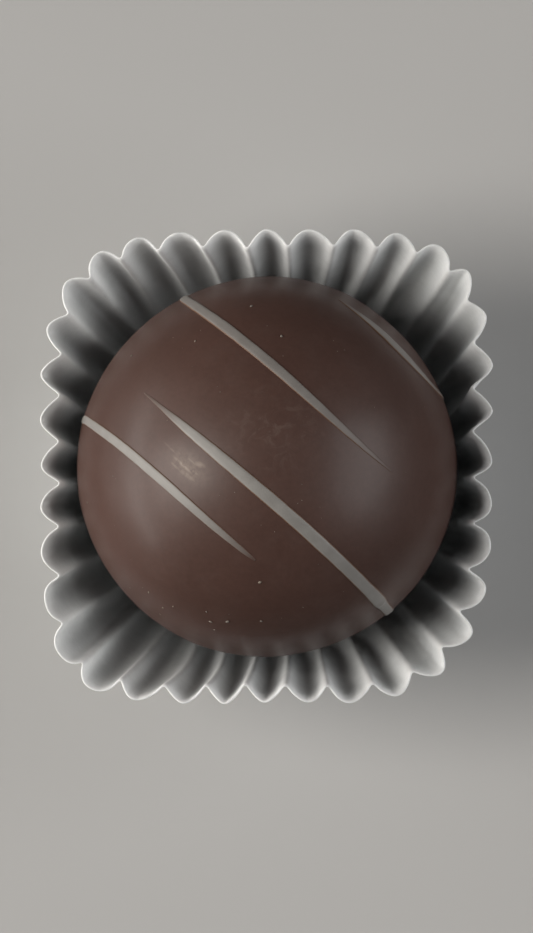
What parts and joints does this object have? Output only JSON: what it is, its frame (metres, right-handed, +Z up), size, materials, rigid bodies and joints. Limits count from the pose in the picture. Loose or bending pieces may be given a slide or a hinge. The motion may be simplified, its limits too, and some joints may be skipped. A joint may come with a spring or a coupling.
{
  "type": "chocolate truffle",
  "caption": "Round chocolate truffle with thin stripes of white drizzle, standing in a pleated white paper case whose rim is a rounded square.",
  "frame": {"origin": "middle of the paper case's underside, on the surface it stands on", "axes": "+Z up, from the case's base to the truffle's crown; +Y along the longer side of the case's rim; +X along its shorter side"},
  "size_m": [0.033, 0.0348, 0.0271],
  "materials": {
    "chocolate": "satin",
    "paper": "matte",
    "white_drizzle": "satin"
  },
  "bodies": {
    "root": {"truffle": "chocolate", "paper_case": "paper"}
  },
  "joints": []
}
